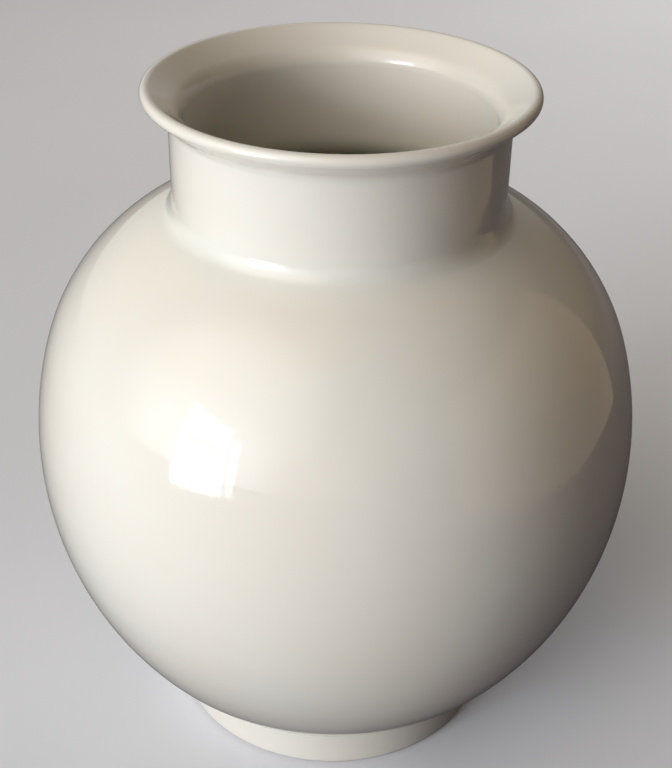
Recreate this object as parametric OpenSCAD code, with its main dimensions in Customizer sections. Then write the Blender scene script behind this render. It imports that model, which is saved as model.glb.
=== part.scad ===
// Globular porcelain vase with a straight collar neck, a flared rim and a turned foot ring.
// The clay is built up in six sections, luted end to end, and then coated with three glazes.
// Millimetres, +Z up, origin at the centre of the foot's seat.

/* [Overall] */
// Height from the seat to the crest of the lip
vase_h = 220; // [218:1:236]
// Finished wall thickness of the body and neck, glaze included
wall = 4.2; // [3.4:0.1:5]
// Thickness of each glaze coat
glaze_t = 0.3; // [0.2:0.05:0.5]

/* [Body] */
// Radius of the globe at its widest
belly_r = 96.5; // [94.5:0.5:98.5]
// Height of the widest point
belly_z = 103; // [102:0.5:105]
// Radius of curvature of the wall above and below the widest point
belly_arc_r = 116.5; // [114:0.5:119]
// Angle above the widest point at which the shoulder curve starts
shoulder_from = 17.5; // [16:0.5:19]
// Radius of curvature of the shoulder
shoulder_arc_r = 69; // [67:1:71]
// Angle below the widest point at which the underbody curve starts
underbody_from = 34; // [32:1:36]
// Radius of curvature of the underbody
underbody_arc_r = 110; // [107:1:112]
// Thickness of the floor, glazes included
floor_t = 5; // [4:0.1:6]
// Radius of the curve between the floor and the wall, inside
floor_fillet = 14; // [8:1:18]

/* [Neck] */
// Outer radius of the straight neck
neck_r = 50.3; // [49:0.1:52]
// Radius of the cove between the shoulder and the neck
neck_cove = 6; // [4:0.5:8]

/* [Rim] */
// Outer radius of the lip
rim_r = 58; // [57:0.1:60]
// Thickness of the flared rim and its rounded lip
lip_t = 3.8; // [3.2:0.1:4.2]
// Slope of the flare above the horizontal
flare_slope = 37; // [32:1:42]
// Radius of the cove under the flare
rim_cove = 4; // [3:0.5:5]
// Radius of the rounded edge where the flare turns down into the neck
throat_edge = 7; // [5.5:0.5:8]

/* [Foot] */
// Outer radius of the foot ring
foot_r = 54.5; // [53:0.5:56]
// Width of the foot ring
foot_w = 5.6; // [4.5:0.1:6.5]
// Depth of the recess inside the foot ring
recess_z = 7; // [5:0.5:7.5]
// Radius of the cove between the foot ring and the recess
recess_cove = 2.5; // [1.5:0.5:3]
// Radius of the glaze pooled between the foot ring and the body
foot_pool = 1.5; // [1:0.5:2.5]
// Height up to which the foot is wiped clear of glaze
bare_z = 1.2; // [1:0.1:2]
// Rounding of the seat's two edges
seat_round = 0.8; // [0.5:0.1:1]

/* [Hidden] */

// Segments around the axis
$fn = 180;
// Furthest that a curve's segments may lie from the true curve
sag = 0.03;
// Wide enough to span the vase's half section
beyond = 200;

porcelain = [0.93, 0.91, 0.87];
outer_coat = [0.95, 0.94, 0.91];
inner_coat = [0.88, 0.90, 0.86];

// Centres of the globe's three curves, each tangent to the next
belly_c = [belly_r - belly_arc_r, belly_z];
shoulder_c = belly_c + (belly_arc_r - shoulder_arc_r) * [cos(shoulder_from), sin(shoulder_from)];
underbody_c = belly_c + (belly_arc_r - underbody_arc_r) * [cos(underbody_from), -sin(underbody_from)];

// Centre of the cove where the shoulder turns up into the neck
neck_cove_x = neck_r + neck_cove;
neck_cove_c = [neck_cove_x, shoulder_c[1] + leg(shoulder_arc_r + neck_cove, neck_cove_x - shoulder_c[0])];
neck_cove_a = heading(neck_cove_c - shoulder_c);

// The rim is a cone of even thickness that ends in a full round lip
lip_r = lip_t / 2;
lip_c = [rim_r - lip_r, vase_h - lip_r];
rim_cove_c = beside_flare(neck_r + rim_cove, -lip_r - rim_cove);
inside_r = neck_r - wall;
throat_c = beside_flare(inside_r + throat_edge, lip_r - throat_edge);

// The floor, and the curve that joins it to the wall
floor_z = recess_z + floor_t;
floor_c_z = floor_z + floor_fillet;
floor_c = [underbody_x(floor_c_z, wall + floor_fillet), floor_c_z];
floor_a = heading(floor_c - underbody_c);

// Heights at which the neck is luted to its neighbours, clear of their curves
neck_foot_z = neck_cove_c[1];
neck_top_z = floor(min(rim_cove_c[1], throat_c[1]));

// The foot ring, and the pooled glaze in the corner above it
foot_in_r = foot_r - foot_w;
foot_clay_r = foot_r - glaze_t;
foot_top_z = underbody_z(foot_clay_r, glaze_t);
foot_top_a = heading([foot_clay_r, foot_top_z] - underbody_c);
bowl_seat_z = recess_z + glaze_t;
bowl_seat_a = heading([underbody_x(bowl_seat_z, glaze_t), bowl_seat_z] - underbody_c);
foot_pool_x = foot_r + foot_pool;
foot_pool_c = [foot_pool_x, underbody_z(foot_pool_x, -foot_pool)];
foot_pool_a = heading(foot_pool_c - underbody_c);

// The other leg of a right triangle
function leg(hypotenuse, side) = sqrt(hypotenuse * hypotenuse - side * side);

// Direction of a vector
function heading(v) = atan2(v[1], v[0]);

// Point at radius x that lies the given distance above the flare's middle line
function beside_flare(x, above) =
    [x, lip_c[1] + (x - lip_c[0]) * tan(flare_slope) + above / cos(flare_slope)];

// Height of the underbody curve at radius x, drawn `inset` inside the finished surface
function underbody_z(x, inset) = underbody_c[1] - leg(underbody_arc_r - inset, x - underbody_c[0]);

// Radius of the same curve at height z
function underbody_x(z, inset) = underbody_c[0] + leg(underbody_arc_r - inset, underbody_c[1] - z);

// Points along an arc from angle a0 to a1, close enough together to keep within sag
function arc(c, r, a0, a1) =
    let (n = max(2, ceil(abs(a1 - a0) / (2 * acos(1 - sag / r)))))
    [for (i = [0:n]) let (a = a0 + (a1 - a0) * i / n) c + r * [cos(a), sin(a)]];

function reversed(points) = [for (i = [len(points) - 1:-1:0]) points[i]];

// The globe's curve from angle a0 on the underbody to the top of the neck's cove
function globe_line(inset, a0) = concat(
    arc(underbody_c, underbody_arc_r - inset, a0, -underbody_from),
    arc(belly_c, belly_arc_r - inset, -underbody_from, shoulder_from),
    arc(shoulder_c, shoulder_arc_r - inset, shoulder_from, neck_cove_a),
    arc(neck_cove_c, neck_cove + inset, neck_cove_a - 180, -180)
);

// Over the rim: out under the flare, round the lip, and in to the throat
function rim_line(inset) = concat(
    arc(rim_cove_c, rim_cove + inset, 180, 90 + flare_slope),
    arc(lip_c, lip_r - inset, flare_slope - 90, flare_slope + 90),
    arc(throat_c, throat_edge - inset, 90 + flare_slope, 180)
);

// The inside, from the floor's centre up to the neck
function inside_line(inset) = concat(
    [[0, floor_z - inset]],
    arc(floor_c, floor_fillet + inset, -90, floor_a),
    globe_line(wall - inset, floor_a)
);

// The cove between the recess and the foot ring's inner wall
function recess_cove_line(inset) =
    arc([foot_in_r, recess_z] - recess_cove * [1, 1], recess_cove + inset, 90, 0);

// The recess, from its centre out to the foot ring's inner wall
function recess_line(inset) = concat([[0, recess_z + inset]], recess_cove_line(inset));

// Where the bowl sits in the foot ring
function bowl_seat_line() = arc(underbody_c, underbody_arc_r - glaze_t, bowl_seat_a, foot_top_a);

// Half section of all the clay above the foot ring
module clay_section() {
    polygon(concat(
        [[0, bowl_seat_z]],
        bowl_seat_line(),
        globe_line(glaze_t, foot_top_a),
        rim_line(glaze_t),
        reversed(inside_line(glaze_t))
    ));
}

// The clay between two heights, turned about the axis
module clay_between(z0, z1) {
    color(porcelain)
        rotate_extrude()
            intersection() {
                clay_section();
                translate([0, z0]) square([beyond, z1 - z0]);
            }
}

// The glaze between its face and the clay behind it, turned about the axis
module glaze_coat(face, clay, tint) {
    color(tint)
        rotate_extrude()
            polygon(concat(face, reversed(clay)));
}

// Turned ring that the bowl sits in, with a flat seat
module foot_ring() {
    color(porcelain)
        rotate_extrude()
            polygon(concat(
                arc([foot_in_r + glaze_t + seat_round, seat_round], seat_round, 180, 270),
                arc([foot_clay_r - seat_round, seat_round], seat_round, -90, 0),
                reversed(bowl_seat_line()),
                recess_cove_line(glaze_t)
            ));
}

// Thick floor, set into the foot ring
module base_floor() {
    clay_between(bowl_seat_z, foot_top_z);
}

// Wall of the bowl, from the foot ring up to the widest point
module lower_body() {
    clay_between(foot_top_z, belly_z);
}

// Shoulder, from the widest point to the foot of the neck
module upper_body() {
    clay_between(belly_z, neck_foot_z);
}

// Straight collar
module neck() {
    clay_between(neck_foot_z, neck_top_z);
}

// Flare with its rounded lip
module rim() {
    clay_between(neck_top_z, vase_h);
}

// Glaze on the outside, from the wiped foot up over the lip and down to the throat
module outer_glaze() {
    glaze_coat(
        concat(
            [[foot_r, bare_z]],
            arc(foot_pool_c, foot_pool, 180, foot_pool_a + 180),
            globe_line(0, foot_pool_a),
            rim_line(0)
        ),
        concat(
            [[foot_clay_r, bare_z], [foot_clay_r, foot_top_z]],
            globe_line(glaze_t, foot_top_a),
            rim_line(glaze_t)
        ),
        outer_coat
    );
}

// Glaze on the inside, from the floor up to the throat
module inner_glaze() {
    glaze_coat(
        concat(inside_line(0), [[inside_r, throat_c[1]]]),
        concat(inside_line(glaze_t), [[inside_r + glaze_t, throat_c[1]]]),
        inner_coat
    );
}

// Glaze in the recess under the floor
module recess_glaze() {
    glaze_coat(
        concat(recess_line(0), [[foot_in_r, bare_z]]),
        concat(recess_line(glaze_t), [[foot_in_r + glaze_t, bare_z]]),
        outer_coat
    );
}

foot_ring();
base_floor();
lower_body();
upper_body();
neck();
rim();
outer_glaze();
inner_glaze();
recess_glaze();
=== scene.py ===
# Looks of the porcelain vase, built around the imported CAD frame. Metres, +Z up.
import math
import bpy
from mathutils import Matrix, Vector


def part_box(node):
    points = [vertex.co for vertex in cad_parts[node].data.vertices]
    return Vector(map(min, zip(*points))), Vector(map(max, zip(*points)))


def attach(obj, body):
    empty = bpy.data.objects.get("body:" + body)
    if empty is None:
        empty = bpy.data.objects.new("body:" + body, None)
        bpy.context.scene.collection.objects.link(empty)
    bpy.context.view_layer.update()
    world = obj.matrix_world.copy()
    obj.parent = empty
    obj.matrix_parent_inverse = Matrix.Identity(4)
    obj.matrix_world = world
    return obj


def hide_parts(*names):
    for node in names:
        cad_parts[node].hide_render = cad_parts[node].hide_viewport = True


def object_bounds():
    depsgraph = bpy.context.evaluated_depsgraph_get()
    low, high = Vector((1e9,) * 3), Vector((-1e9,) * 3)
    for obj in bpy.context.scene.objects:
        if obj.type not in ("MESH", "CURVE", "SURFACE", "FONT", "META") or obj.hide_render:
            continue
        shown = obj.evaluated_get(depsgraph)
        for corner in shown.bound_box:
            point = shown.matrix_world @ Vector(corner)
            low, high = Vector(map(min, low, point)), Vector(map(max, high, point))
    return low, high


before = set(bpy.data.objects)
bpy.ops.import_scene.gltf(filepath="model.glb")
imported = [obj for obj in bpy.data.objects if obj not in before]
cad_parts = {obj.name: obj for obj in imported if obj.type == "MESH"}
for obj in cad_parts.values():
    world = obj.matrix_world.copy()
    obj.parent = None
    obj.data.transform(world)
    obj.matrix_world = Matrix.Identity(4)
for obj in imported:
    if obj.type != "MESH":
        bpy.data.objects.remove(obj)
cad_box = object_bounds()

# ---- Sizes read from the frame ----
VASE_H = cad_box[1].z
BELLY_R = cad_box[1].x
BELLY_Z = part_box("lower_body")[1].z
GLAZE_T = VASE_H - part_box("rim")[1].z
NECK_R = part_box("neck")[1].x + GLAZE_T
NECK_FOOT_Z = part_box("neck")[0].z
RIM_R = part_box("rim")[1].x + GLAZE_T
THROAT_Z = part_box("inner_glaze")[1].z
FLOOR_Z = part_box("inner_glaze")[0].z + GLAZE_T
FOOT_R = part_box("foot_ring")[1].x + GLAZE_T
FOOT_IN_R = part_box("recess_glaze")[1].x - GLAZE_T
RECESS_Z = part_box("recess_glaze")[1].z - GLAZE_T
BARE_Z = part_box("outer_glaze")[0].z

# ---- Curves of the outline, the same as the CAD part's, in metres and degrees ----
WALL = 0.0042
BELLY_ARC_R = 0.1165
SHOULDER_FROM = 17.5
SHOULDER_ARC_R = 0.069
UNDERBODY_FROM = 34
UNDERBODY_ARC_R = 0.110
FLOOR_FILLET = 0.014
NECK_COVE = 0.006
LIP_R = 0.0019
FLARE_SLOPE = 37
RIM_COVE = 0.004
THROAT_EDGE = 0.007
RECESS_COVE = 0.0025
FOOT_POOL = 0.0015
SEAT_ROUND = 0.0008

# ---- How finely the pieces are turned ----
SEGMENTS = 256
# Longest steps along the outline, in metres, and an arc's widest step in degrees
FACE_STEP = 0.0016
BACK_STEP = 0.006
EDGE_STEP = 0.0004
TURN_STEP = 8
# Faces that meet at more than this many degrees keep a sharp edge
SHARP_ANGLE = 50
# Points closer together than this are one point
SAME_PLACE = 1e-6

# ---- How far the hand-turned surface strays from the true shape ----
WAVE = 0.000022
# Throwing rings, in radians per metre of height
RING_PITCH = 520
BROAD_RING_PITCH = 233
# Slow swelling that winds round the pot, in radians per metre of height
SWELL_PITCH = 31
COUNTER_SWELL_PITCH = 47
# The wiped edge of the glaze
EDGE_WAVER = 0.0003
EDGE_REACH = 0.0008


def polar(radius, angle):
    """Vector of a length and a direction in degrees, in the half section's plane."""
    return Vector((math.cos(math.radians(angle)), math.sin(math.radians(angle)))) * radius


def heading(v):
    """Direction of a vector in degrees."""
    return math.degrees(math.atan2(v.y, v.x))


def leg(hypotenuse, side):
    """The other leg of a right triangle."""
    return math.sqrt(hypotenuse ** 2 - side ** 2)


BELLY_C = Vector((BELLY_R - BELLY_ARC_R, BELLY_Z))
SHOULDER_C = BELLY_C + polar(BELLY_ARC_R - SHOULDER_ARC_R, SHOULDER_FROM)
UNDERBODY_C = BELLY_C + polar(BELLY_ARC_R - UNDERBODY_ARC_R, -UNDERBODY_FROM)
NECK_COVE_C = Vector((NECK_R + NECK_COVE, NECK_FOOT_Z))
NECK_COVE_A = heading(NECK_COVE_C - SHOULDER_C)
LIP_C = Vector((RIM_R - LIP_R, VASE_H - LIP_R))


def beside_flare(radius, above):
    """Point at a radius that lies the given distance above the flare's middle line."""
    slope = math.radians(FLARE_SLOPE)
    return Vector((radius, LIP_C.y + (radius - LIP_C.x) * math.tan(slope) + above / math.cos(slope)))


def underbody_z(radius, inset):
    """Height of the underbody curve at a radius, drawn inset inside the finished surface."""
    return UNDERBODY_C.y - leg(UNDERBODY_ARC_R - inset, radius - UNDERBODY_C.x)


def underbody_x(z, inset):
    """Radius of the same curve at a height."""
    return UNDERBODY_C.x + leg(UNDERBODY_ARC_R - inset, UNDERBODY_C.y - z)


RIM_COVE_C = beside_flare(NECK_R + RIM_COVE, -LIP_R - RIM_COVE)
THROAT_C = beside_flare(NECK_R - WALL + THROAT_EDGE, LIP_R - THROAT_EDGE)
FLOOR_C = Vector((underbody_x(FLOOR_Z + FLOOR_FILLET, WALL + FLOOR_FILLET), FLOOR_Z + FLOOR_FILLET))
FLOOR_A = heading(FLOOR_C - UNDERBODY_C)
FOOT_POOL_X = FOOT_R + FOOT_POOL
FOOT_POOL_C = Vector((FOOT_POOL_X, underbody_z(FOOT_POOL_X, -FOOT_POOL)))
FOOT_POOL_A = heading(FOOT_POOL_C - UNDERBODY_C)
FOOT_CLAY_R = FOOT_R - GLAZE_T
FOOT_TOP_Z = underbody_z(FOOT_CLAY_R, GLAZE_T)
FOOT_TOP_A = heading(Vector((FOOT_CLAY_R, FOOT_TOP_Z)) - UNDERBODY_C)
BOWL_SEAT_Z = RECESS_Z + GLAZE_T
BOWL_SEAT_A = heading(Vector((underbody_x(BOWL_SEAT_Z, GLAZE_T), BOWL_SEAT_Z)) - UNDERBODY_C)


def arc(centre, radius, start, end, step=FACE_STEP):
    """Points along an arc between two angles in degrees."""
    turn = end - start
    count = max(2, math.ceil(abs(math.radians(turn)) * radius / step), math.ceil(abs(turn) / TURN_STEP))
    return [centre + polar(radius, start + turn * i / count) for i in range(count + 1)]


def line(start, end, step=FACE_STEP):
    """Points along a straight stretch, its ends included."""
    count = max(1, math.ceil((end - start).length / step))
    return [start.lerp(end, i / count) for i in range(count + 1)]


def globe_line(inset, start, step=FACE_STEP):
    """The globe's curve from an angle on the underbody to the top of the neck's cove."""
    return (
        arc(UNDERBODY_C, UNDERBODY_ARC_R - inset, start, -UNDERBODY_FROM, step)
        + arc(BELLY_C, BELLY_ARC_R - inset, -UNDERBODY_FROM, SHOULDER_FROM, step)
        + arc(SHOULDER_C, SHOULDER_ARC_R - inset, SHOULDER_FROM, NECK_COVE_A, step)
        + arc(NECK_COVE_C, NECK_COVE + inset, NECK_COVE_A - 180, -180, step)
    )


def rim_line(inset, step=FACE_STEP):
    """Over the rim: out under the flare, round the lip, and in to the throat."""
    under = arc(RIM_COVE_C, RIM_COVE + inset, 180, 90 + FLARE_SLOPE, step)
    lip = arc(LIP_C, LIP_R - inset, FLARE_SLOPE - 90, FLARE_SLOPE + 90, step)
    throat = arc(THROAT_C, THROAT_EDGE - inset, 90 + FLARE_SLOPE, 180, step)
    return under + line(under[-1], lip[0], step) + lip + line(lip[-1], throat[0], step) + throat


def outside_line(inset, step=FACE_STEP):
    """The neck and rim above the globe."""
    rim = rim_line(inset, step)
    return line(Vector((NECK_R - inset, NECK_FOOT_Z)), rim[0], step) + rim


def inside_line(inset, step=FACE_STEP):
    """The inside, from the floor's centre up to the throat."""
    fillet = arc(FLOOR_C, FLOOR_FILLET + inset, -90, FLOOR_A, step)
    globe = globe_line(WALL - inset, FLOOR_A, step)
    top = Vector((NECK_R - WALL + inset, THROAT_Z))
    floor = line(Vector((0, FLOOR_Z - inset)), fillet[0], step)
    return floor + fillet + globe + line(globe[-1], top, step)


def recess_cove_line(inset):
    """The cove between the recess and the foot ring's inner wall."""
    centre = Vector((FOOT_IN_R - RECESS_COVE, RECESS_Z - RECESS_COVE))
    return arc(centre, RECESS_COVE + inset, 90, 0)


def recess_line(inset, step=FACE_STEP):
    """The recess, from its centre out to the wiped edge of the glaze."""
    cove = recess_cove_line(inset)
    wall = line(cove[-1], Vector((cove[-1].x, BARE_Z)))
    return line(Vector((0, RECESS_Z + inset)), cove[0], step) + cove + wall


def turned_wave(point, outward, angle):
    """The surface's step off the true shape: faint throwing rings that waver round the pot."""
    drift = 0.6 * math.sin(angle + 1.3) + 0.4 * math.sin(2 * angle + 0.4)
    fine_rings = math.sin(point.y * RING_PITCH + drift)
    broad_rings = 0.6 * math.sin(point.y * BROAD_RING_PITCH + 2.1 - 1.7 * drift)
    swell = math.sin(3 * angle + point.y * SWELL_PITCH)
    counter_swell = 0.7 * math.sin(5 * angle - point.y * COUNTER_SWELL_PITCH + 0.8)
    return outward * (WAVE * ((fine_rings + broad_rings) * 0.45 + (swell + counter_swell) * 0.55))


def thin_out(points):
    """The outline without points that repeat."""
    kept = [points[0]]
    for p in points[1:]:
        if (p - kept[-1]).length > SAME_PLACE:
            kept.append(p)
    if (kept[0] - kept[-1]).length <= SAME_PLACE:
        kept.pop()
    return kept


def turned(name, outline, offset=None):
    """A smooth solid turned about Z from a closed outline, whose points on the axis become one vertex.

    Where offset is given, it says how far each point is moved in the half section's plane.
    """
    outline = thin_out(outline)
    vertices, rings = [], []
    for k, p in enumerate(outline):
        first = len(vertices)
        if p.x < SAME_PLACE:
            vertices.append((0, 0, p.y))
            rings.append([first] * SEGMENTS)
            continue
        tangent = (outline[(k + 1) % len(outline)] - outline[k - 1]).normalized()
        outward = Vector((tangent.y, -tangent.x))
        for s in range(SEGMENTS):
            angle = 2 * math.pi * s / SEGMENTS
            moved = p + offset(p, outward, angle) if offset else p
            vertices.append((moved.x * math.cos(angle), moved.x * math.sin(angle), moved.y))
        rings.append(range(first, first + SEGMENTS))
    faces = []
    for k, lower in enumerate(rings):
        upper = rings[(k + 1) % len(rings)]
        for s in range(SEGMENTS):
            t = (s + 1) % SEGMENTS
            corners = [lower[s], lower[t], upper[t], upper[s]]
            face = list(dict.fromkeys(corners))
            if len(face) > 2:
                faces.append(face)
    mesh = bpy.data.meshes.new(name)
    mesh.from_pydata(vertices, [], faces)
    mesh.validate()
    mesh.shade_smooth()
    mesh.set_sharp_from_angle(angle=math.radians(SHARP_ANGLE))
    piece = bpy.data.objects.new(name, mesh)
    bpy.context.scene.collection.objects.link(piece)
    return piece


# ---- Materials ----

PORCELAIN = (0.80, 0.775, 0.71)
PORCELAIN_WARM = (0.80, 0.755, 0.675)
POOLED = (0.75, 0.745, 0.69)
# The inside's colour below the throat, darker and yellower than the outside: partly the glaze's tint and
# partly painted shade of the deep inside
INSIDE_TINT_AND_SHADE = (0.74, 0.72, 0.59)
CLAY = (0.78, 0.75, 0.69)
CLAY_WARM = (0.74, 0.69, 0.61)
RUBBED = (0.42, 0.39, 0.35)
IRON = (0.16, 0.11, 0.07)
# Depth below the throat over which the inside takes its darker, yellower colour, partly the glaze's tint and
# partly painted shade of the deep inside
INSIDE_FADE = 0.05
# Bump depths in metres, three in the glaze and two in the clay
ORANGE_PEEL = 0.00002
UNEVENNESS = 0.00006
PINHOLE = 0.00004
GRAIN = 0.00006
CLAY_UNEVENNESS = 0.00005


def new_tree(material):
    """The material's node tree and its Principled shader, with nothing else in it."""
    material.use_nodes = True
    tree = material.node_tree
    tree.nodes.clear()
    shader = tree.nodes.new("ShaderNodeBsdfPrincipled")
    output = tree.nodes.new("ShaderNodeOutputMaterial")
    tree.links.new(shader.outputs["BSDF"], output.inputs["Surface"])
    return tree, shader


def join(tree, value, socket):
    """Links an output to a socket, or sets the socket where value is a constant."""
    if isinstance(value, bpy.types.NodeSocket):
        tree.links.new(value, socket)
    else:
        socket.default_value = value


def noise(tree, scale, detail=2.0, roughness=0.5):
    """Noise between 0 and 1 over the object's own coordinates, scale in waves per metre."""
    place = tree.nodes.new("ShaderNodeTexCoord")
    texture = tree.nodes.new("ShaderNodeTexNoise")
    texture.inputs["Scale"].default_value = scale
    texture.inputs["Detail"].default_value = detail
    texture.inputs["Roughness"].default_value = roughness
    tree.links.new(place.outputs["Object"], texture.inputs["Vector"])
    return texture.outputs["Fac"]


def height_of(tree):
    """Height above the seat, in metres."""
    place = tree.nodes.new("ShaderNodeTexCoord")
    split = tree.nodes.new("ShaderNodeSeparateXYZ")
    tree.links.new(place.outputs["Object"], split.inputs["Vector"])
    return split.outputs["Z"]


def remap(tree, value, low, high, to_low=0.0, to_high=1.0, smooth=True):
    """value between low and high, carried to the range from to_low to to_high."""
    node = tree.nodes.new("ShaderNodeMapRange")
    node.interpolation_type = "SMOOTHSTEP" if smooth else "LINEAR"
    join(tree, value, node.inputs["Value"])
    join(tree, low, node.inputs["From Min"])
    join(tree, high, node.inputs["From Max"])
    join(tree, to_low, node.inputs["To Min"])
    join(tree, to_high, node.inputs["To Max"])
    return node.outputs["Result"]


def maths(tree, operation, a, b):
    """One arithmetic node."""
    node = tree.nodes.new("ShaderNodeMath")
    node.operation = operation
    join(tree, a, node.inputs[0])
    join(tree, b, node.inputs[1])
    return node.outputs["Value"]


def blend_colours(tree, factor, a, b):
    """Colour a where factor is 0 and b where it is 1."""
    node = tree.nodes.new("ShaderNodeMix")
    node.data_type = "RGBA"
    join(tree, factor, node.inputs["Factor"])
    for socket, colour in (("A", a), ("B", b)):
        value = colour if isinstance(colour, bpy.types.NodeSocket) else (*colour, 1)
        join(tree, value, next(i for i in node.inputs if i.name == socket and i.type == "RGBA"))
    return next(o for o in node.outputs if o.type == "RGBA")


def band(tree, height, middle, reach):
    """1 at a height and fading to 0 at reach above and below it."""
    rise = remap(tree, height, middle - reach, middle)
    fall = remap(tree, height, middle, middle + reach, 1.0, 0.0)
    return maths(tree, "MULTIPLY", rise, fall)


def specks(tree, scale, size, share):
    """1 inside small round specks: one in each cell of a share of the cells, scale cells per metre."""
    place = tree.nodes.new("ShaderNodeTexCoord")
    cells = tree.nodes.new("ShaderNodeTexVoronoi")
    cells.inputs["Scale"].default_value = scale
    tree.links.new(place.outputs["Object"], cells.inputs["Vector"])
    split = tree.nodes.new("ShaderNodeSeparateColor")
    tree.links.new(cells.outputs["Color"], split.inputs["Color"])
    inside = remap(tree, cells.outputs["Distance"], size * scale * 0.5, size * scale, 1.0, 0.0)
    chosen = maths(tree, "LESS_THAN", split.outputs["Red"], share)
    return maths(tree, "MULTIPLY", inside, chosen)


def bumps(tree, shader, layers):
    """Stacks bump layers, each (height, depth in metres), on the shader's normal."""
    previous = None
    for height, depth in layers:
        node = tree.nodes.new("ShaderNodeBump")
        node.inputs["Distance"].default_value = depth
        tree.links.new(height, node.inputs["Height"])
        if previous:
            tree.links.new(previous, node.inputs["Normal"])
        previous = node.outputs["Normal"]
    tree.links.new(previous, shader.inputs["Normal"])


def glaze(name, inside_tint_and_shade, pools):
    """Glossy glaze: faint drifts of tone, greyer where it pools, iron specks and a slight orange peel.

    Where the inside's colour is given, the glaze turns to it below the throat: a darker, yellower colour,
    partly the glaze's tint and partly painted shade.
    """
    material = bpy.data.materials.new(name)
    tree, shader = new_tree(material)
    height = height_of(tree)
    drift = remap(tree, noise(tree, 16, 3), 0.35, 0.65)
    tone = blend_colours(tree, drift, PORCELAIN, PORCELAIN_WARM)
    # Below the throat the colour fades to the darker inside colour, partly tint and partly painted shade
    if inside_tint_and_shade:
        below = remap(tree, height, THROAT_Z - INSIDE_FADE, THROAT_Z, 1.0, 0.0)
        tone = blend_colours(tree, below, tone, inside_tint_and_shade)
    depth = 0.0
    for middle, reach in pools:
        depth = maths(tree, "ADD", band(tree, height, middle, reach), depth)
    wander = remap(tree, noise(tree, 45, 2), 0.3, 0.7, 0.5, 1.0)
    tone = blend_colours(tree, maths(tree, "MULTIPLY", depth, wander), tone, POOLED)
    iron = maths(tree, "MULTIPLY", specks(tree, 70, 0.00028, 0.05), 0.55)
    tone = blend_colours(tree, iron, tone, IRON)
    tree.links.new(tone, shader.inputs["Base Color"])
    gloss = remap(tree, noise(tree, 60, 4, 0.6), 0.3, 0.7, 0.05, 0.10)
    tree.links.new(gloss, shader.inputs["Roughness"])
    bumps(tree, shader, [
        (noise(tree, 420, 2), ORANGE_PEEL),
        (noise(tree, 75, 1), UNEVENNESS),
        (specks(tree, 110, 0.0003, 0.04), PINHOLE),
    ])
    shader.inputs["IOR"].default_value = 1.52
    shader.inputs["Coat Weight"].default_value = 0.35
    shader.inputs["Coat Roughness"].default_value = 0.02
    return material


def biscuit(name):
    """Bare fired porcelain: matt and fine-grained, with grey rub marks on the seat."""
    material = bpy.data.materials.new(name)
    tree, shader = new_tree(material)
    height = height_of(tree)
    drift = remap(tree, noise(tree, 40, 4), 0.3, 0.7)
    tone = blend_colours(tree, drift, CLAY, CLAY_WARM)
    seat = remap(tree, height, 0.0001, 0.0005, 1.0, 0.0)
    rub = maths(tree, "MULTIPLY", seat, remap(tree, noise(tree, 260, 5, 0.7), 0.48, 0.62, 0.0, 0.7))
    tone = blend_colours(tree, rub, tone, RUBBED)
    grit = maths(tree, "MULTIPLY", specks(tree, 420, 0.00012, 0.12), 0.6)
    tone = blend_colours(tree, grit, tone, IRON)
    tree.links.new(tone, shader.inputs["Base Color"])
    tree.links.new(remap(tree, noise(tree, 300, 4), 0.3, 0.7, 0.62, 0.8), shader.inputs["Roughness"])
    bumps(tree, shader, [(noise(tree, 2600, 3), GRAIN), (noise(tree, 500, 2), CLAY_UNEVENNESS)])
    shader.inputs["IOR"].default_value = 1.5
    return material


outer_material = glaze("outer_glaze_gloss", None, [(NECK_FOOT_Z - 0.003, 0.006), (FOOT_TOP_Z, 0.003)])
# The inside glaze is darker below the throat, partly as painted shade
inner_material = glaze("inner_glaze_gloss", INSIDE_TINT_AND_SHADE, [(FLOOR_Z, 0.012)])
clay_material = biscuit("bare_porcelain")


# ---- The vase ----

def glaze_edge(point, outward, angle):
    """The wiped edge of the glaze wavers a little, and the rest has the throwing rings."""
    edge = max(0.0, 1 - (point.y - BARE_Z) / EDGE_REACH)
    if edge > 0:
        waver = 0.5 + 0.3 * math.sin(7 * angle) + 0.2 * math.sin(17 * angle + 1.1)
        return Vector((0, EDGE_WAVER * edge * waver))
    return turned_wave(point, outward, angle)


def shell(name, face, back, offset):
    """A coat between its face and the clay behind it."""
    return turned(name, face + back[::-1], offset)


vase_outside = shell(
    "vase_outside",
    line(Vector((FOOT_R, BARE_Z)), Vector((FOOT_R, FOOT_POOL_C.y)), EDGE_STEP)
    + arc(FOOT_POOL_C, FOOT_POOL, 180, FOOT_POOL_A + 180)
    + globe_line(0, FOOT_POOL_A)
    + outside_line(0),
    [Vector((FOOT_CLAY_R, BARE_Z)), Vector((FOOT_CLAY_R, FOOT_TOP_Z))]
    + globe_line(GLAZE_T, FOOT_TOP_A, BACK_STEP)
    + outside_line(GLAZE_T, BACK_STEP),
    glaze_edge,
)
vase_inside = shell("vase_inside", inside_line(GLAZE_T, BACK_STEP), inside_line(0), turned_wave)
recess_skin = shell("recess_skin", recess_line(GLAZE_T, BACK_STEP), recess_line(0), None)
foot_band = turned(
    "foot_band",
    arc(Vector((FOOT_IN_R + GLAZE_T + SEAT_ROUND, SEAT_ROUND)), SEAT_ROUND, 180, 270)
    + arc(Vector((FOOT_CLAY_R - SEAT_ROUND, SEAT_ROUND)), SEAT_ROUND, -90, 0)
    + arc(UNDERBODY_C, UNDERBODY_ARC_R - GLAZE_T, FOOT_TOP_A, BOWL_SEAT_A, BACK_STEP)
    + recess_cove_line(GLAZE_T),
)

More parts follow.
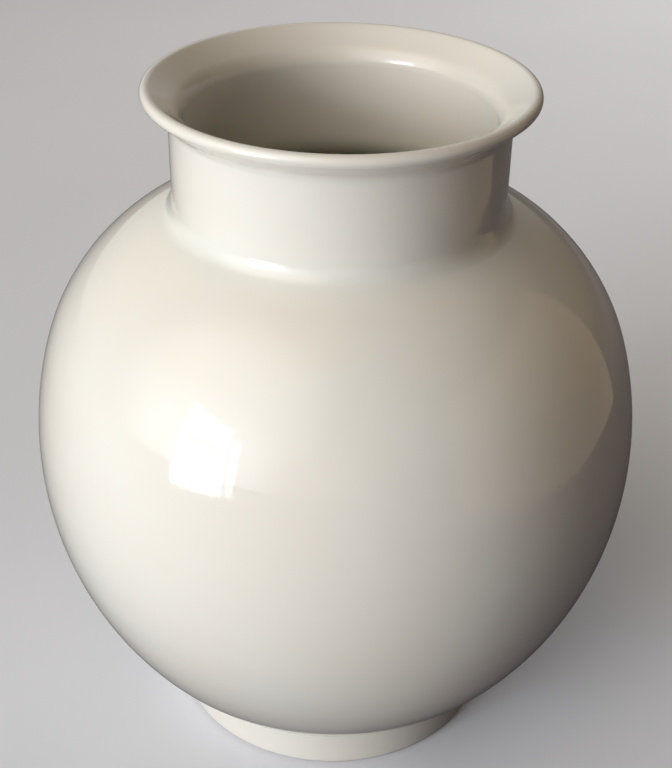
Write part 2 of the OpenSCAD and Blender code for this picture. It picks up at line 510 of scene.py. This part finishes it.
for piece, node, slot_name, material in (
    (vase_outside, "outer_glaze", "outer_glaze", outer_material),
    (vase_inside, "inner_glaze", "inner_glaze", inner_material),
    (recess_skin, "recess_glaze", "outer_glaze", outer_material),
    (foot_band, "foot_ring", "porcelain_clay", clay_material),
):
    piece.data.materials.append(material)
    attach(piece, "root")
    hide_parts(node)

for node in ("base_floor", "lower_body", "upper_body", "neck", "rim"):
    for material_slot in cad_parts[node].material_slots:
        material_slot.material = clay_material


# ---- The studio ----

FLOOR_SIDE = 12
FLOOR_COLOUR = (0.82, 0.84, 0.90)
FLOOR_COLOUR_DEEP = (0.79, 0.81, 0.87)
# Colour of the floor to every ray but the camera's: it throws as little light on the vase as a dark cloth
FLOOR_BOUNCE = (0.17, 0.16, 0.18)

WINDOW_MIDDLE = Vector((-0.73, -0.71, 0))
# Degrees that the window is turned from facing +X
WINDOW_TURN = 11
WINDOW_COLOUR = (0.90, 0.97, 1.0)
WINDOW_RADIANCE = 7.0
# Each pane's ends along the sill from the window's middle and its bottom and top, in metres, and its share
# of the radiance
PANES = (
    ("pane_low", -0.197, 0.190, 0.006, 0.332, 1.0),
    ("pane_high", -0.197, 0.190, 0.368, 0.587, 1.0),
    ("pane_side", 0.228, 0.300, 0.006, 0.510, 0.5),
)
# The window's light on the vase comes from a panel further out, which spreads more evenly on the floor
# DAYLIGHT_AWAY is how many times the window's distance it stands from the vase
DAYLIGHT_AWAY = 2
DAYLIGHT_WIDTH = 0.994
DAYLIGHT_HEIGHT = 0.92
DAYLIGHT_RADIANCE = 11.5

WALL_MIDDLE = Vector((0.42, -0.15, 0.23))
WALL_WIDTH = 0.70
WALL_HEIGHT = 0.45
WALL_COLOUR = (1.0, 0.72, 0.40)
WALL_RADIANCE = 0.32

FILL_AZIMUTH = 150
FILL_ELEVATION = 25
FILL_AWAY = 1.2
FILL_SIDE = 0.8
FILL_COLOUR = (1.0, 0.98, 0.95)
FILL_RADIANCE = 1.2

BACKGROUND = (0.74, 0.75, 0.78)
# The room's light as soft lobes, each with an azimuth, an elevation and a reach in degrees, and a colour
LOBES = (
    (-50, 5, 37, (1.05, 1.08, 1.30)),
    (-50, 33, 45, (1.52, 1.44, 1.39)),
    (-53, 60, 37, (0.45, 0.32, 0.10)),
    (-18, 3, 40, (0.45, 0.41, 0.38)),
    (-160, 20, 60, (0.48, 0.48, 0.48)),
    (120, 20, 60, (0.11, 0.07, 0.03)),
)


def studio_floor():
    """A plain pale floor under the vase."""
    mesh = bpy.data.meshes.new("floor")
    half = FLOOR_SIDE / 2
    corners = [(-half, -half, 0), (half, -half, 0), (half, half, 0), (-half, half, 0)]
    mesh.from_pydata(corners, [], [(0, 1, 2, 3)])
    floor = bpy.data.objects.new("floor", mesh)
    bpy.context.scene.collection.objects.link(floor)
    material = bpy.data.materials.new("floor_paint")
    tree, shader = new_tree(material)
    tone = blend_colours(tree, remap(tree, noise(tree, 3, 3), 0.3, 0.7), FLOOR_COLOUR, FLOOR_COLOUR_DEEP)
    path = tree.nodes.new("ShaderNodeLightPath")
    tone = blend_colours(tree, path.outputs["Is Camera Ray"], FLOOR_BOUNCE, tone)
    tree.links.new(tone, shader.inputs["Base Color"])
    shader.inputs["Roughness"].default_value = 0.9
    shader.inputs["Specular IOR Level"].default_value = 0.0
    mesh.materials.append(material)


def towards(azimuth, elevation):
    """Direction seen from the vase: azimuth 0 is towards the camera and -90 to its left."""
    a, e = math.radians(azimuth), math.radians(elevation)
    return Vector((math.sin(a) * math.cos(e), -math.cos(a) * math.cos(e), math.sin(e)))


def panel(name, centre, width, height, colour, radiance, target):
    """A rectangular soft light that faces the target."""
    data = bpy.data.lights.new(name, "AREA")
    data.shape = "RECTANGLE"
    data.size = width
    data.size_y = height
    data.color = colour
    data.energy = radiance * math.pi * width * height
    light = bpy.data.objects.new(name, data)
    light.location = centre
    light.rotation_euler = (target - centre).to_track_quat("-Z", "Y").to_euler()
    light.visible_camera = False
    bpy.context.scene.collection.objects.link(light)
    return light


def window():
    """A window in front and to the left.

    Its panes show only in the gloss, and a panel further out gives their light.
    """
    along = Vector((math.sin(math.radians(WINDOW_TURN)), -math.cos(math.radians(WINDOW_TURN)), 0))
    facing = Vector((-along.y, along.x, 0))
    for name, start, end, low, high, share in PANES:
        centre = WINDOW_MIDDLE + along * (start + end) / 2 + Vector((0, 0, (low + high) / 2))
        radiance = WINDOW_RADIANCE * share
        pane = panel(name, centre, end - start, high - low, WINDOW_COLOUR, radiance, centre + facing)
        pane.visible_diffuse = False
    centre = WINDOW_MIDDLE * DAYLIGHT_AWAY + Vector((0, 0, DAYLIGHT_HEIGHT / 2))
    target = centre + facing
    daylight = panel(
        "daylight", centre, DAYLIGHT_WIDTH, DAYLIGHT_HEIGHT, WINDOW_COLOUR, DAYLIGHT_RADIANCE, target
    )
    daylight.visible_glossy = False


def warm_wall():
    """A dim warm panel on the right, which shows only in the gloss, as a soft-edged crescent."""
    target = WALL_MIDDLE - Vector((1, 0, 0))
    wall = panel("warm_wall", WALL_MIDDLE, WALL_WIDTH, WALL_HEIGHT, WALL_COLOUR, WALL_RADIANCE, target)
    wall.visible_diffuse = False


def fill():
    """A soft light behind and to the right, which lifts the shaded side a little."""
    middle = Vector((0, 0, VASE_H / 2))
    centre = middle + towards(FILL_AZIMUTH, FILL_ELEVATION) * FILL_AWAY
    light = panel("fill", centre, FILL_SIDE, FILL_SIDE, FILL_COLOUR, FILL_RADIANCE, middle)
    light.visible_glossy = False


def soft_room():
    """The room's light from all round: a pale background to the camera, and broad soft lobes to the vase."""
    world = bpy.data.worlds.new("room")
    bpy.context.scene.world = world
    world.use_nodes = True
    tree = world.node_tree
    tree.nodes.clear()
    place = tree.nodes.new("ShaderNodeTexCoord")
    total = None
    for azimuth, elevation, reach, colour in LOBES:
        dot = tree.nodes.new("ShaderNodeVectorMath")
        dot.operation = "DOT_PRODUCT"
        tree.links.new(place.outputs["Generated"], dot.inputs[0])
        dot.inputs[1].default_value = towards(azimuth, elevation)
        weight = remap(tree, dot.outputs["Value"], math.cos(math.radians(reach)), 1.0)
        lobe = blend_colours(tree, weight, (0, 0, 0), colour)
        if total:
            add = tree.nodes.new("ShaderNodeVectorMath")
            add.operation = "ADD"
            tree.links.new(total, add.inputs[0])
            tree.links.new(lobe, add.inputs[1])
            lobe = add.outputs["Vector"]
        total = lobe
    room = tree.nodes.new("ShaderNodeBackground")
    tree.links.new(total, room.inputs["Color"])
    seen = tree.nodes.new("ShaderNodeBackground")
    seen.inputs["Color"].default_value = (*BACKGROUND, 1)
    path = tree.nodes.new("ShaderNodeLightPath")
    pick = tree.nodes.new("ShaderNodeMixShader")
    tree.links.new(path.outputs["Is Camera Ray"], pick.inputs[0])
    tree.links.new(room.outputs[0], pick.inputs[1])
    tree.links.new(seen.outputs[0], pick.inputs[2])
    output = tree.nodes.new("ShaderNodeOutputWorld")
    tree.links.new(pick.outputs[0], output.inputs["Surface"])


# ---- The camera ----

# Metres from the axis and above the seat, degrees down and of roll, and millimetres of lens
CAMERA_BACK = 0.3763
CAMERA_UP = 0.3499
CAMERA_PITCH = 31.716
CAMERA_ROLL = 1.006
CAMERA_LENS = 63.28


def camera():
    """The camera at the viewing angle, with no depth of field and no shift."""
    data = bpy.data.cameras.new("camera")
    data.sensor_width = 36
    data.lens = CAMERA_LENS
    data.clip_start = 0.02
    eye = bpy.data.objects.new("camera", data)
    tilt = Matrix.Rotation(math.radians(90 - CAMERA_PITCH), 4, "X")
    roll = Matrix.Rotation(math.radians(CAMERA_ROLL), 4, "Z")
    eye.matrix_world = Matrix.Translation((0, -CAMERA_BACK, CAMERA_UP)) @ tilt @ roll
    bpy.context.scene.collection.objects.link(eye)
    bpy.context.scene.camera = eye


studio_floor()
window()
warm_wall()
fill()
soft_room()
camera()
bpy.context.scene.view_settings.view_transform = "Standard"
